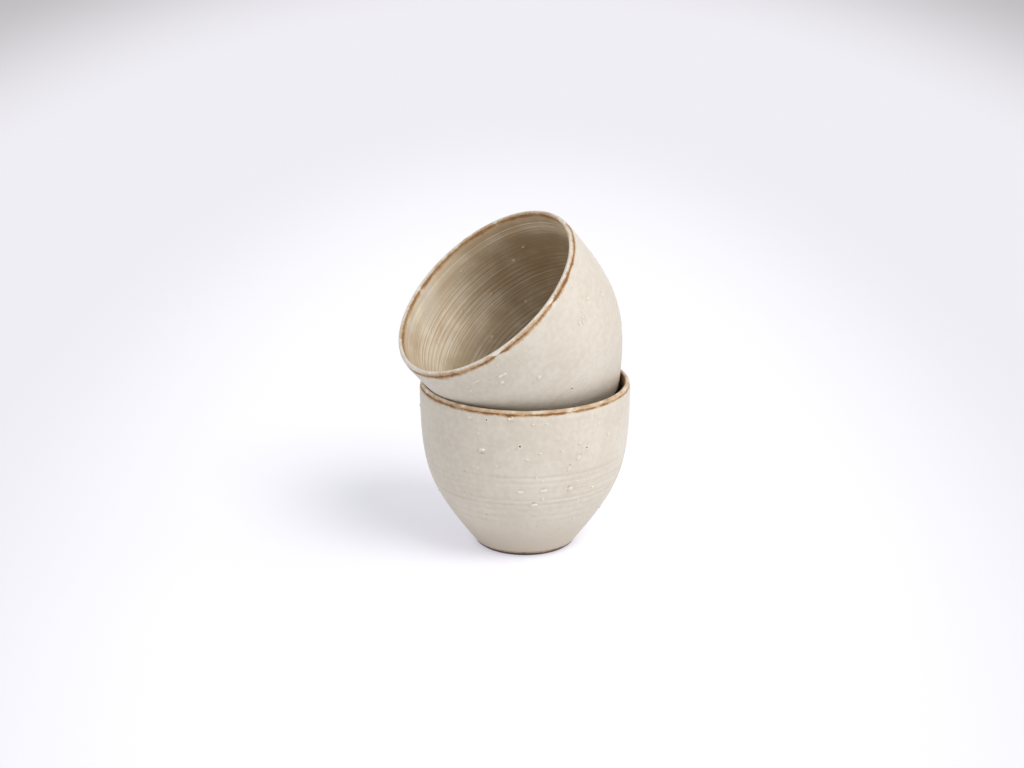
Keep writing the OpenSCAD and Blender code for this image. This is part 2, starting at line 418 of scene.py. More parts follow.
def spin_section(piece, turns):
    """Spins a quarter turn about the cup's axis and mirrors it into a closed skin that faces outwards."""
    bpy.ops.object.mode_set(mode="EDIT")
    bpy.ops.mesh.select_all(action="SELECT")
    bpy.ops.mesh.spin(steps=turns // 4, angle=math.pi / 2, center=(0, 0, 0), axis=(0, 0, 1))
    bpy.ops.object.mode_set(mode="OBJECT")
    whole = piece.modifiers.new("Whole turn", "MIRROR")
    whole.use_axis = (True, True, False)
    whole.merge_threshold = MERGE_DISTANCE
    bpy.ops.object.modifier_apply(modifier=whole.name)
    bpy.ops.object.mode_set(mode="EDIT")
    bpy.ops.mesh.select_all(action="SELECT")
    bpy.ops.mesh.remove_doubles(threshold=MERGE_DISTANCE)
    bpy.ops.mesh.normals_make_consistent(inside=False)
    # The mesh takes on the new faces when edit mode is left.
    # A skin that is inside out encloses a volume below 0.
    bpy.ops.object.mode_set(mode="OBJECT")
    bpy.ops.object.mode_set(mode="EDIT")
    if enclosed_volume(piece.data) < 0:
        bpy.ops.mesh.flip_normals()
    bpy.ops.mesh.select_all(action="DESELECT")
    bpy.ops.object.mode_set(mode="OBJECT")


def write_attribute(mesh, name, values):
    kind = "FLOAT_VECTOR" if np.ndim(values) == 2 else "FLOAT"
    attribute = mesh.attributes.get(name) or mesh.attributes.new(name, kind, "POINT")
    attribute.data.foreach_set("vector" if kind == "FLOAT_VECTOR" else "value", np.ravel(values))


def read_attribute(mesh, name):
    values = np.zeros(len(mesh.vertices), np.float32)
    mesh.attributes[name].data.foreach_get("value", values)
    return values.astype(float)


def vertex_places(mesh):
    places = np.zeros(3 * len(mesh.vertices), np.float32)
    mesh.vertices.foreach_get("co", places)
    return places.reshape(-1, 3).astype(float)


def throw(name, points, along, face, closed, turns):
    """A spun piece whose vertices keep their distance along the section and their share of depth."""
    piece = draw_section(name, points, closed)
    write_attribute(piece.data, "along", along)
    write_attribute(piece.data, "face", face)
    spin_section(piece, turns)
    return piece


def pair(piece):
    """The lower cup's piece and its copy, with a mesh of its own, for the upper cup."""
    pick(piece)
    bpy.ops.object.duplicate(linked=False)
    copy = bpy.context.object
    if copy.data == piece.data:
        raise RuntimeError(f"{piece.name}: its copy has no mesh of its own")
    copy.name = copy.data.name = piece.name.replace("lower", "upper")
    return {"lower": piece, "upper": copy}


def weight_group(piece, name, weights):
    """Name of a new vertex group with these weights."""
    group = piece.vertex_groups.new(name=name + " weight")
    levels = np.round(np.clip(weights, 0, 1) * WEIGHT_LEVELS).astype(int)
    for level in np.unique(levels[levels > 0]):
        group.add(np.flatnonzero(levels == level).tolist(), level / WEIGHT_LEVELS, "REPLACE")
    return group.name


def displace(piece, group, strength, texture=None, mid_level=0.0):
    """Pushes a group's vertices out of the surface, evenly or by a texture, for good."""
    pick(piece)
    push = piece.modifiers.new("Push " + group, "DISPLACE")
    push.vertex_group = group
    push.strength = strength
    push.mid_level = mid_level
    if texture:
        push.texture = texture
        push.texture_coords = "LOCAL"
    bpy.ops.object.modifier_apply(modifier=push.name)


def clouds(name, size, depth=2):
    texture = bpy.data.textures.new(name, "CLOUDS")
    texture.noise_scale = size
    texture.noise_depth = depth
    return texture


# Sizes of the glaze's waves, and how far each cup's are stretched, so that the cups aren't alike
SWELL_SIZE = 0.007
RIPPLE_SIZE = 0.0021
STRETCH = {"lower": 1.0, "upper": 1.17}


def swell(piece, cup, strength):
    """Lets the glaze lie unevenly: slow swells over the surface, and fine ones on top."""
    group = weight_group(piece, "face", read_attribute(piece.data, "face"))
    displace(piece, group, strength, clouds("Glaze swells", SWELL_SIZE * STRETCH[cup]), 0.5)
    displace(piece, group, 0.25 * strength, clouds("Glaze ripples", RIPPLE_SIZE * STRETCH[cup]), 0.5)


# Potting marks

# How deep the turning lines are on each cup, as a share of the full depth
LINE_STRENGTH = {"lower": 1.0, "upper": 0.4}
# Throwing rings: half their share of the full depth, their share of the full pitch, and how many of
# their pitches they climb in a turn
RINGS = ((0.26, 1.0, 1), (0.24, 0.62, 2))
# Seeds of the random draws, to which the place of the cup in CUPS is added
LINE_SEED = 11
OUTSIDE_SEED = 23
INSIDE_SEED = 41


def turns_about_axis(mesh):
    places = vertex_places(mesh)
    return np.arctan2(places[:, 1], places[:, 0])


def press_turning_lines(piece, marks, cup):
    """Presses in the lines that the turning tool left outside, each of them fading round the cup."""
    uneven = random.Random(LINE_SEED + CUPS.index(cup))
    turns, heights = turns_about_axis(piece.data), vertex_places(piece.data)[:, 2]
    weights = np.zeros(len(turns))
    height = marks.line_z - marks.line_band / 2
    while height < marks.line_z + marks.line_band / 2:
        strength = uneven.uniform(0.4, 1)
        waves = uneven.randint(1, 2)
        faded = strength * (0.75 + 0.25 * np.sin(waves * turns + uneven.uniform(0, 6)))
        weights += faded * np.exp(-((heights - height) / (marks.line_width / 2)) ** 2)
        height += marks.line_pitch * uneven.uniform(0.4, 1.0)
    weights *= LINE_STRENGTH[cup] * read_attribute(piece.data, "face")
    displace(piece, weight_group(piece, "lines", weights), -marks.line_depth)
    write_attribute(piece.data, "line", np.clip(weights, 0, 1))


def press_throwing_rings(piece, marks, section, cup):
    """Presses in the rings that the potter's fingers left inside: a spiral, and finer ones along it."""
    turns, along = turns_about_axis(piece.data), read_attribute(piece.data, "along")
    slow_drift = np.sin(along / 0.0061 + 0.4 * np.sin(turns))
    drift = slow_drift + 0.6 * np.sin(along / 0.0023 + 0.3 * np.sin(2 * turns))
    grooves = np.zeros(len(along))
    for depth, pitch, climb in RINGS:
        rings = 2 * math.pi * along / (pitch * marks.ring_pitch)
        phase = rings + climb * turns + drift + CUPS.index(cup)
        strength = 0.62 + 0.38 * np.sin(along / (0.0034 * pitch) + climb * turns)
        grooves += depth * strength * (1 + np.sin(phase))
    from_lip = smooth((along - section.inner_start) / marks.ring_margin)
    from_middle = smooth((section.end - along) / marks.ring_margin)
    weights = grooves * from_lip * from_middle * (0.8 + 0.2 * np.sin(2 * turns + along / 0.009))
    group = weight_group(piece, "rings", weights * read_attribute(piece.data, "face"))
    displace(piece, group, -marks.ring_depth)
    write_attribute(piece.data, "ring", 1 - weights)


# Grit and pits

MM = 0.001
# Grains that show most: turn in degrees and height in millimetres on the cup, length, width, tilt,
# share of the full rise, and share of the hollow above the grain, or below it where negative
LOWER_GRAINS = (
    (-114, 51.5, 3.0, 1.4, 10, 1.0, -0.6), (-64, 34.5, 2.2, 1.3, 35, 1.0, 0.8),
    (-85, 28.5, 3.2, 1.1, 10, 0.9, 0.9), (-80, 35, 3.0, 0.9, 10, 0.6, 0.4),
    (-93, 34.5, 2.4, 1.1, 0, 0.6, 0.3), (-98, 65.5, 2.6, 1.5, 25, 0.9, -0.4),
    (-121, 64, 2.6, 1.0, 0, 0.4, 0), (-60, 47.5, 2.6, 1.6, 30, 0.4, 0.2),
    (-47, 60, 2.4, 1.4, 60, 0.4, 0), (-39, 54, 2.0, 1.4, 50, 0.4, 0.2),
    (-66, 43.5, 2.4, 1.4, 70, 0.3, 0), (-89, 48.5, 2.0, 1.2, 0, 0.3, 0),
    (-128, 30.5, 1.6, 1.1, 0, 0.6, 0.3), (-82, 51, 1.6, 1.0, 10, 0.4, 0),
    (-116, 58, 1.5, 1.0, 0, 0.3, 0), (-117, 43.5, 1.6, 1.0, 10, 0.3, 0),
    (-106, 45.5, 1.2, 0.8, 0, 0.3, 0), (-81, 17.5, 1.2, 0.7, 80, 0.4, 0),
    (-86, 63, 1.4, 0.9, 0, 0.4, 0), (-107, 58, 1.4, 0.9, 0, 0.2, 0), (-80, 31, 1.3, 0.9, 0, 0.4, 0),
    (-60, 37.5, 1.2, 0.6, 0, 0.3, 0), (-48, 33, 1.2, 0.7, 0, 0.5, 0),
)
UPPER_GRAINS = (
    (41, 60.5, 3.4, 1.0, 0, 0.9, -0.4), (55, 58, 4.6, 0.9, -5, 0.9, -0.3),
    (50, 56, 1.2, 0.9, 30, 0.4, 0), (52, 55, 2.0, 1.4, 0, 0.7, -0.3), (34, 57, 2.4, 1.3, 0, 0.4, 0),
    (69, 47.5, 2.2, 1.4, 0, 0.5, 0), (119, 53.5, 1.9, 1.3, 20, 1.0, -0.5),
    (131, 46, 1.9, 0.9, 10, 0.9, -0.5), (111, 53, 1.5, 1.1, 30, 0.6, 0),
    (105, 51, 1.7, 1.2, 0, 0.7, 0.3), (107, 49.5, 1.5, 1.0, 40, 0.6, 0.4),
    (109, 51, 1.3, 1.0, 60, 0.4, -0.4), (48, 58.5, 1.4, 0.8, 0, 0.3, 0),
    (68, 59, 1.2, 0.8, 0, 0.3, 0), (82, 43.5, 1.2, 0.9, 0, 0.2, 0),
)
# Pinholes that show most: turn and height on the cup, and radius
LOWER_PITS = (
    (-93, 54, 0.45), (-55, 51, 0.4), (-111, 64, 0.35), (-65, 45, 0.3), (-126, 41, 0.3), (-95, 53, 0.2),
)
UPPER_PITS = ((78, 32, 0.5), (86, 28.5, 0.25), (134, 32, 0.35))
# Grains inside the leaning cup: turn, distance below the lip, length, width, tilt and share of the rise
INNER_GRAINS = (
    (-129, 18, 2.0, 1.5, 0, 0.6), (-140, 14, 1.6, 1.1, 0, 0.5), (-119, 36, 1.8, 1.5, 0, 0.6),
    (-85, 37.5, 2.2, 1.6, 0, 0.5), (-58, 12.5, 1.8, 0.9, 90, 0.5), (-54, 18, 1.4, 1.2, 0, 0.5),
    (-100, 8, 1.2, 0.8, 0, 0.4),
)
# Heights between which grit is scattered outside, and its distance from the lip and the middle inside
GRIT_LOW = 0.009
GRIT_HIGH = 0.0645
GRIT_MARGIN = 0.006
# Lengths to choose from for a scattered grain, in millimetres
GRAIN_LENGTHS = (0.6, 0.7, 0.8, 0.9, 1.1, 1.5)
# How far around a grain its faces are split, once for each reach
SPLIT_REACHES = (0.0008, 0.0003)
LUMP_SIZE = 0.0006


class Spot:
    """A place on a cup's glaze, with the directions across it, along the section and out of it."""

    def __init__(self, section, degrees, place):
        (r, z), (out_r, out_z) = section.at([place])[0], section.outward(np.array([place]))[0]
        c, s = math.cos(math.radians(degrees)), math.sin(math.radians(degrees))
        self.across = np.array([-s, c, 0])
        self.out = np.array([out_r * c, out_r * s, out_z])
        self.up = np.cross(self.out, self.across)
        self.middle = np.array([r * c, r * s, z]) + section.shape.glaze_t * self.out


class Grain:
    """A grain of grit under the glaze, as long and wide as given in millimetres."""

    def __init__(self, spot, long, wide, tilt, rise, hollow=0.0):
        self.spot = spot
        self.long, self.wide = long * MM / 2, wide * MM / 2
        self.tilt = math.radians(tilt)
        self.rise, self.hollow = rise, hollow

    def away(self, offset, shift=0.0):
        """How far from the grain's middle each place lies, as a share of its half sizes."""
        across, up = offset @ self.spot.across, offset @ self.spot.up
        c, s = math.cos(self.tilt), math.sin(self.tilt)
        return np.hypot((across * c + up * s) / self.long, (up * c - across * s) / self.wide - shift)


def scattered(scatter, section, low, high):
    """A small grain somewhere between two distances along the section."""
    spot = Spot(section, scatter.uniform(-180, 180), scatter.uniform(low, high))
    long = scatter.choice(GRAIN_LENGTHS)
    wide = long * scatter.uniform(0.55, 0.95)
    return Grain(spot, long, wide, scatter.uniform(-50, 50), scatter.uniform(0.15, 0.45))


def clear_of_lip(spot, pose, section, marks):
    """Whether a place on the upper cup keeps away from the lip of the lower cup, on which it leans."""
    x, y, z = pose @ Vector(spot.middle)
    lip = math.hypot(math.hypot(x, y) - section.shape.rim_d / 2, z - section.shape.cup_h)
    return lip > marks.contact_room


def outside_grit(section, marks, cup):
    """Grains and pits on the outside of a cup: those that show most, and others scattered over it."""
    scatter = random.Random(OUTSIDE_SEED + CUPS.index(cup))
    grains = [
        Grain(Spot(section, turn, section.place_at(height * MM)), *form)
        for turn, height, *form in (LOWER_GRAINS if cup == "lower" else UPPER_GRAINS)]
    pits = [
        (Spot(section, turn, section.place_at(height * MM)), radius * MM)
        for turn, height, radius in (LOWER_PITS if cup == "lower" else UPPER_PITS)]
    low, high = section.place_at(GRIT_LOW), section.place_at(GRIT_HIGH)
    for _ in range(marks.grains):
        grains.append(scattered(scatter, section, low, high))
    for _ in range(marks.pits):
        pits.append((scattered(scatter, section, low, high).spot, scatter.uniform(0.2, 0.35) * MM))
    if cup == "upper":
        pose = cup_pose(cup)
        grains = [grain for grain in grains if clear_of_lip(grain.spot, pose, section, marks)]
        pits = [pit for pit in pits if clear_of_lip(pit[0], pose, section, marks)]
    return grains, pits


def inside_grit(section, marks, cup):
    """Grains on the inside of a cup."""
    scatter = random.Random(INSIDE_SEED + CUPS.index(cup))
    grains = []
    if cup == "upper":
        grains = [
            Grain(Spot(section, turn, section.inner_start + below * MM), *form)
            for turn, below, *form in INNER_GRAINS]
    low, high = section.inner_start + GRIT_MARGIN, section.end - GRIT_MARGIN
    for _ in range(marks.inner_grains):
        grains.append(scattered(scatter, section, low, high))
    return grains


def subdivide_near(piece, spots, reach):
    """Splits the outward faces whose middles lie within reach of a spot's edge."""
    mesh = piece.data
    middles, normals, _ = face_values(mesh)
    chosen = np.zeros(len(mesh.polygons), bool)
    for spot, size in spots:
        near = np.linalg.norm(middles - spot.middle, axis=1) < size + reach
        chosen |= near & (normals @ spot.out > 0)
    mesh.polygons.foreach_set("select", chosen)
    bpy.ops.object.mode_set(mode="EDIT")
    bpy.ops.mesh.subdivide(number_cuts=1)
    bpy.ops.mesh.select_all(action="DESELECT")
    bpy.ops.object.mode_set(mode="OBJECT")


def add_grit(piece, marks, grains, pits, cup):
    """Raises the grains and sinks the pits in a coat, and keeps both for its finish."""
    pick(piece)
    bpy.ops.object.mode_set(mode="EDIT")
    bpy.ops.mesh.select_mode(type="FACE")
    bpy.ops.mesh.select_all(action="DESELECT")
    bpy.ops.object.mode_set(mode="OBJECT")
    spots = [(grain.spot, grain.long) for grain in grains]
    spots += [(spot, 1.8 * radius) for spot, radius in pits]
    for reach in SPLIT_REACHES:
        subdivide_near(piece, spots, reach)

    places = vertex_places(piece.data)
    on_face = read_attribute(piece.data, "face") > 0
    raised, sunk, grit, pit = (np.zeros(len(places)) for _ in range(4))
    for grain in grains:
        offset = places - grain.spot.middle
        near = np.flatnonzero(on_face & (np.linalg.norm(offset, axis=1) < 2 * grain.long))
        away = grain.away(offset[near])
        raised[near] = np.maximum(raised[near], grain.rise * smooth((1.15 - away) / 0.55))
        grit[near] = np.maximum(grit[near], (0.4 + 0.6 * grain.rise) * smooth((1.6 - away) / 1.1))
        side = math.copysign(2.0, grain.hollow)
        hollow = abs(grain.hollow) * smooth(1 - grain.away(offset[near], side))
        sunk[near] = np.maximum(sunk[near], hollow)
    for spot, radius in pits:
        offset = places - spot.middle
        near = np.flatnonzero(on_face & (np.linalg.norm(offset, axis=1) < 2.8 * radius))
        away = np.linalg.norm(offset[near], axis=1) / radius
        pit[near] = np.maximum(pit[near], smooth(1.4 - away))
        raised[near] = np.maximum(raised[near], 0.2 * np.exp(-((away - 1.6) / 0.4) ** 2))
        grit[near] = np.maximum(grit[near], 0.9 * np.exp(-((away - 1.6) / 0.5) ** 2))
    lumps = clouds("Grit lumps", LUMP_SIZE * STRETCH[cup], 1)
    raised_group = weight_group(piece, "raised", raised)
    displace(piece, raised_group, marks.grain_rise)
    displace(piece, raised_group, marks.grain_rise, lumps, 0.5)
    displace(piece, weight_group(piece, "sunk", np.maximum(sunk, pit)), -marks.pit_depth)
    for name, values in (("grit", grit), ("pit", pit), ("hollow", sunk)):
        write_attribute(piece.data, name, values)


# Iron at the lip

# Reach of the iron on each side of a lip edge in millimetres, the turn in degrees where it is heaviest,
# and the gaps in it as turn and width
IRON = {
    "lower": {"outer": (0.72, -125, ((-66, 3), (-48, 2))), "inner": (0.9, -60, ())},
    "upper": {
        "outer": (1.0, 80, ((61, 3), (101, 1.4), (165, 1.5))),
        "inner": (1.2, -150, ((-74, 1.5), (-135, 1.0))),
    },
}
# Tan on the top of a lip: its mean share, how far that swings round the lip, and the turn of the most
CROWN_TAN = {"lower": (0.72, 0.2, -40), "upper": (0.14, 0.24, -120)}
# Turn at which the painted shade inside each cup is deepest
INNER_SHADE_TURN = {"lower": math.radians(10), "upper": math.radians(-140)}


def iron_reach(turns, cup, edge):
    """How far the iron shows on each side of a lip edge, by the turn round the cup."""
    reach_mm, heavy, gaps = IRON[cup][edge]
    uneven = random.Random(f"{cup} {edge}")
    reach = 1 + 0.35 * np.cos(turns - math.radians(heavy))
    for waves in (3, 5, 8, 13, 21, 34):
        reach += uneven.uniform(0.05, 0.16) * np.sin(waves * turns + uneven.uniform(0, 2 * math.pi))
    for turn, width in gaps:
        off = (turns - math.radians(turn) + math.pi) % (2 * math.pi) - math.pi
        reach *= 1 - np.exp(-((off / math.radians(width)) ** 2))
    return reach_mm * MM * np.clip(reach, 0.02, 1.8)


def crown_tan(turns, cup):
    mean, swing, heavy = CROWN_TAN[cup]
    return mean + swing * np.cos(turns - math.radians(heavy))


def inner_shade_by_turn(turns, cup):
    """Painted shade below the lip inside a cup: most at one turn, and none behind it."""
    return 0.85 * smooth(1.45 * np.cos(turns - INNER_SHADE_TURN[cup]) - 0.45)


# Setting down


def node_middle(node):
    """Centre of a CAD node's surface, which lies on its cup's axis."""
    middles, _, areas = face_values(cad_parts[node].data)
    return Vector(np.average(middles, axis=0, weights=areas))


def cup_pose(cup):
    """Where a cup's foot stands and how it leans, from the middles of its clay and of its lip's coat."""
    if cup == "lower":
        return Matrix()
    lip = node_middle("upper_rim_glaze")
    axis = (lip - node_middle("upper_clay_body")).normalized()
    foot = lip - node_middle("lower_rim_glaze").z * axis
    heading = math.atan2(axis.y, axis.x)
    lean = math.acos(min(1.0, axis.z))
    turn = Matrix.Rotation(heading, 4, "Z") @ Matrix.Rotation(lean, 4, "Y")
    return Matrix.Translation(foot) @ turn


def set_down(piece, cup, node, finish):
    """Keeps the piece's upright places for its finish, sets it on its cup and ties it to the frame."""
    mesh = piece.data
    places = vertex_places(mesh)
    turns = turns_about_axis(mesh)
    write_attribute(mesh, "thrown", np.column_stack([places[:, :2], read_attribute(mesh, "along")]))
    write_attribute(mesh, "outer_iron", iron_reach(turns, cup, "outer"))
    write_attribute(mesh, "inner_iron", iron_reach(turns, cup, "inner"))
    write_attribute(mesh, "crown_tan", crown_tan(turns, cup))
    # Painted shade inside the cup, by its turn
    write_attribute(mesh, "inner_shade_by_turn", inner_shade_by_turn(turns, cup))
    piece.vertex_groups.clear()
    pick(piece)
    piece.matrix_world = cup_pose(cup)
    bpy.ops.object.transform_apply(location=True, rotation=True, scale=True)
    bpy.ops.object.shade_smooth_by_angle(angle=math.radians(50))
    mesh.materials.append(finish)
    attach(piece, cup + "_cup")
    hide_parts(node)


# Finishes


class Nodes:
    """Lays the nodes of a shader tree, and hands back the sockets that carry their values."""

    # Distance between nodes, rows of them, and columns of them to the left of the shader
    spacing = 190
    rows = 6
    columns = 12

    def __init__(self, tree):
        self.nodes, self.links = tree.nodes, tree.links

    def feed(self, socket, value):
        if isinstance(value, bpy.types.NodeSocket):
            self.links.new(value, socket)
        elif socket.type == "RGBA":
            socket.default_value = (*value[:3], 1)
        else:
            socket.default_value = value

    def add(self, kind, inputs=(), **settings):
        node = self.nodes.new(kind)
        column, row = divmod(len(self.nodes), self.rows)
        node.location = (self.spacing * (column - self.columns), self.spacing * row)
        for key, value in settings.items():
            setattr(node, key, value)
        for key, value in dict(inputs).items():
            self.feed(node.inputs[key], value)
        return node

    def calc(self, operation, a, b=0.0):
        return self.add("ShaderNodeMath", {0: a, 1: b}, operation=operation).outputs[0]

    def part(self, value, factor):
        return self.calc("MULTIPLY", value, factor)

    def spread(self, value, reach, middle):
        """A value from 0 to 1 spread evenly over a reach about a middle."""
        inputs = {0: value, 1: 2 * reach, 2: middle - reach}
        return self.add("ShaderNodeMath", inputs, operation="MULTIPLY_ADD").outputs[0]

    def seen(self):
        """1 for the rays of the camera, of mirrors and of glass, and 0 for those that only light."""
        rays = self.add("ShaderNodeLightPath").outputs
        straight = self.calc("MAXIMUM", rays["Is Camera Ray"], rays["Is Transmission Ray"])
        return self.calc("MAXIMUM", straight, rays["Is Glossy Ray"])


class Finish(Nodes):
    """The nodes of one glaze or clay."""

    def __init__(self, name, roughness):
        self.material = bpy.data.materials.new(name)
        self.material.use_nodes = True
        super().__init__(self.material.node_tree)
        self.shader = self.nodes["Principled BSDF"]
        self.shader.inputs["Roughness"].default_value = roughness
        self.place = self.add("ShaderNodeTexCoord").outputs["Object"]
        self.thrown = self.attribute("thrown", "Vector")
        self.along = self.add("ShaderNodeSeparateXYZ", {"Vector": self.thrown}).outputs["Z"]

    def attribute(self, name, output="Fac"):
        return self.add("ShaderNodeAttribute", attribute_name=name).outputs[output]

    def noise(self, scale, detail=2.0, where=None):
        where = self.place if where is None else where
        inputs = {"Vector": where, "Scale": scale, "Detail": detail}
        return self.add("ShaderNodeTexNoise", inputs).outputs[0]

    def streaks(self, around, across, detail=2.0):
        """Noise drawn out along the turn of the wheel."""
        drawn = self.add(
            "ShaderNodeVectorMath", {0: self.thrown, 1: (around, around, across)}, operation="MULTIPLY")
        return self.noise(1.0, detail, drawn.outputs["Vector"])

    def ramp(self, value, low, high):
        """0 at low and 1 at high, with an eased way between them."""
        ends = {"Value": value, "From Min": low, "From Max": high}
        return self.add("ShaderNodeMapRange", ends, interpolation_type="SMOOTHSTEP").outputs[0]

    def blend(self, part, a, b):
        return self.add("ShaderNodeMix", {0: part, 6: a, 7: b}, data_type="RGBA").outputs[2]

    def iron_line(self, edge, reach):
        """Where iron breaks through along a lip edge: a tan veil, and a brown core in it, both ragged."""
        sway = self.spread(self.noise(310, 3), 0.00028, -edge)
        away = self.calc("DIVIDE", self.calc("ABSOLUTE", self.calc("ADD", self.along, sway)), reach)
        ragged = self.calc("ADD", away, self.spread(self.noise(900, 3), 0.5, 0.0))
        veil = self.ramp(ragged, 1.2, 0.4)
        core = self.ramp(self.calc("ADD", ragged, self.spread(self.noise(160), 0.7, 0.05)), 0.65, 0.05)
        return veil, core

    def finish(self, tint, roughness, height, depth):
        self.feed(self.shader.inputs["Base Color"], tint)
        self.feed(self.shader.inputs["Roughness"], roughness)
        bump = self.add("ShaderNodeBump", {"Height": height, "Distance": depth, "Strength": 1.0})
        self.feed(self.shader.inputs["Normal"], bump.outputs["Normal"])
        return self.material

    def roughness(self, middle, spread, scale):
        """Roughness that varies a little over the surface."""
        return self.spread(self.noise(scale, 3), spread, middle)


def over_iron(finish, colours, section, tint):
    """A tint with the iron that shows through it along the outer and the inner edge of the lip."""
    outer_veil, outer_core = finish.iron_line(section.outer_line, finish.attribute("outer_iron"))
    inner_veil, inner_core = finish.iron_line(section.inner_edge, finish.attribute("inner_iron"))
    tan = finish.blend(finish.calc("MAXIMUM", outer_veil, inner_veil), tint, colours.iron_tan)
    core = finish.calc("MAXIMUM", outer_core, finish.part(inner_core, 0.65))
    return finish.blend(core, tan, colours.iron_brown)


def over_grit(finish, colours, tint, pale, paleness):
    """A tint that is drawn thin around each grain, darkened with painted shade in the hollow beside it,
    paler on top of it, and dark in the pits.
    """
    grit, pit = finish.attribute("grit"), finish.attribute("pit")
    drawn_thin = finish.part(finish.ramp(grit, 0.02, 0.3), 0.1)
    # Painted shade: the hollow beside a grain takes the darker tint too
    halo = finish.calc("MAXIMUM", drawn_thin, finish.attribute("hollow"))
    tint = finish.blend(halo, tint, colours.thin_glaze_and_shade)
    tint = finish.blend(finish.part(finish.ramp(grit, 0.35, 0.75), paleness), tint, pale)
    return finish.blend(finish.ramp(pit, 0.5, 0.95), tint, colours.pit_dark)


def outer_glaze(colours, section, cup):
    """Mottled oatmeal, browner in the turning lines and at the foot, where clay shows at its edge under
    painted contact shade.
    """
    finish = Finish(f"Outer glaze of the {cup} cup", colours.glaze_roughness)
    clouds_part = finish.part(finish.noise(42, 3), 0.45)
    fine_part = finish.part(finish.noise(480, 3), 0.4)
    streak_part = finish.part(finish.streaks(45, 560), 0.15)
    tone = finish.calc("ADD", finish.calc("ADD", clouds_part, fine_part), streak_part)
    tint = finish.blend(finish.ramp(tone, 0.36, 0.62), colours.oatmeal_deep, colours.oatmeal)
    near_foot = finish.part(finish.ramp(finish.along, 0.03, 0.003), 0.8)
    tint = finish.blend(near_foot, tint, colours.oatmeal_foot)
    tint = finish.blend(finish.part(finish.attribute("line"), 0.17), tint, colours.thin_glaze_and_shade)
    # At the foot the glaze's ragged lower edge turns tan, then clay brown: thin glaze over the clay,
    # deepened with painted contact shade
    edge = finish.calc("ADD", finish.along, finish.spread(finish.noise(300, 3), 0.0005, 0.0))
    tint = finish.blend(finish.part(finish.ramp(edge, 0.0022, 0.0008), 0.6), tint, colours.iron_tan)
    tint = finish.blend(finish.ramp(edge, 0.0011, 0.0004), tint, colours.clay_light_and_foot_shade)
    tint = over_grit(finish, colours, tint, colours.grit_cream, 0.75)
    tint = over_iron(finish, colours, section, tint)
    height = finish.calc("ADD", finish.noise(900, 3), finish.part(finish.streaks(10, 1500), 0.6))
    return finish.finish(tint, finish.roughness(colours.glaze_roughness, 0.1, 240), height, 0.000025)


def rim_glaze(colours, section, cup):
    """Cream, with patches where the glaze lies thin on the lip and the iron comes through."""
    finish = Finish(f"Lip glaze of the {cup} cup", colours.glaze_roughness)
    cream = finish.ramp(finish.noise(260, 4), 0.36, 0.62)
    tint = finish.blend(cream, colours.oatmeal, colours.rim_cream)
    patches = finish.spread(finish.noise(270, 5), 1.1, -0.1)
    mottle = finish.calc("ADD", finish.attribute("crown_tan"), patches)
    tint = finish.blend(finish.part(finish.ramp(mottle, 0.2, 0.9), 0.85), tint, colours.iron_tan)
    tint = finish.blend(finish.part(finish.ramp(mottle, 0.75, 1.35), 0.6), tint, colours.iron_brown)
    tint = over_iron(finish, colours, section, tint)
    roughness = finish.roughness(colours.glaze_roughness, 0.1, 240)
    return finish.finish(tint, roughness, finish.noise(700, 3), 0.0001)


def inner_glaze(colours, section, cup):
    """Cream below the lip and tan along the rings, with painted shade towards the floor and round the
    side that the light misses.
    """
    finish = Finish(f"Inner glaze of the {cup} cup", colours.glaze_roughness)
    start = section.inner_start
    ring_part = finish.part(finish.attribute("ring"), 0.5)
    streak_part = finish.part(finish.streaks(15, 1000, 3), 0.45)
    patch_part = finish.part(finish.noise(85, 4), 0.75)
    tone = finish.calc("ADD", finish.calc("ADD", ring_part, streak_part), patch_part)
    lines = finish.part(finish.ramp(tone, 0.68, 1.1), 0.75)
    tint = finish.blend(lines, colours.inner_cream, colours.inner_tan)
    rust = finish.part(finish.ramp(tone, 0.92, 1.15), finish.ramp(finish.noise(90), 0.45, 0.65))
    tint = finish.blend(finish.part(rust, 0.5), tint, colours.iron_tan)

    # Painted shade: darker towards the floor, and round the side of the inside that the light misses, up
    # to the lip there
    thin = finish.attribute("inner_shade_by_turn")
    depth_shade_part = finish.part(finish.ramp(finish.along, start + 0.02, start + 0.045), 0.7)
    turn_shade_part = finish.part(thin, finish.ramp(finish.along, start, start + 0.01))
    at_lip = finish.ramp(finish.along, start - 0.004, start + 0.001)
    at_lip = finish.part(at_lip, finish.ramp(thin, 0.5, 0.8))
    turn_shade_part = finish.calc("MAXIMUM", turn_shade_part, finish.part(at_lip, 0.5))
    deep = finish.calc("MAXIMUM", depth_shade_part, turn_shade_part)
    deep = finish.part(deep, finish.spread(lines, 0.16, 0.86))
    tint = finish.blend(deep, tint, colours.inner_painted_shade)

    below_lip = finish.ramp(finish.along, start + 0.016, start + 0.004)
    pool = finish.part(finish.ramp(finish.noise(60), 0.5, 0.62), below_lip)
    pool = finish.part(pool, finish.ramp(thin, 0.3, 0.0))
    tint = finish.blend(finish.part(pool, 0.6), tint, colours.oatmeal)
    tint = over_grit(finish, colours, tint, colours.inner_cream, 0.35)
    tint = over_iron(finish, colours, section, tint)
    height = finish.calc("ADD", finish.noise(800, 3), finish.part(finish.streaks(2.5, 1300), 2.0))
    return finish.finish(tint, finish.roughness(colours.glaze_roughness, 0.1, 240), height, 0.00007)


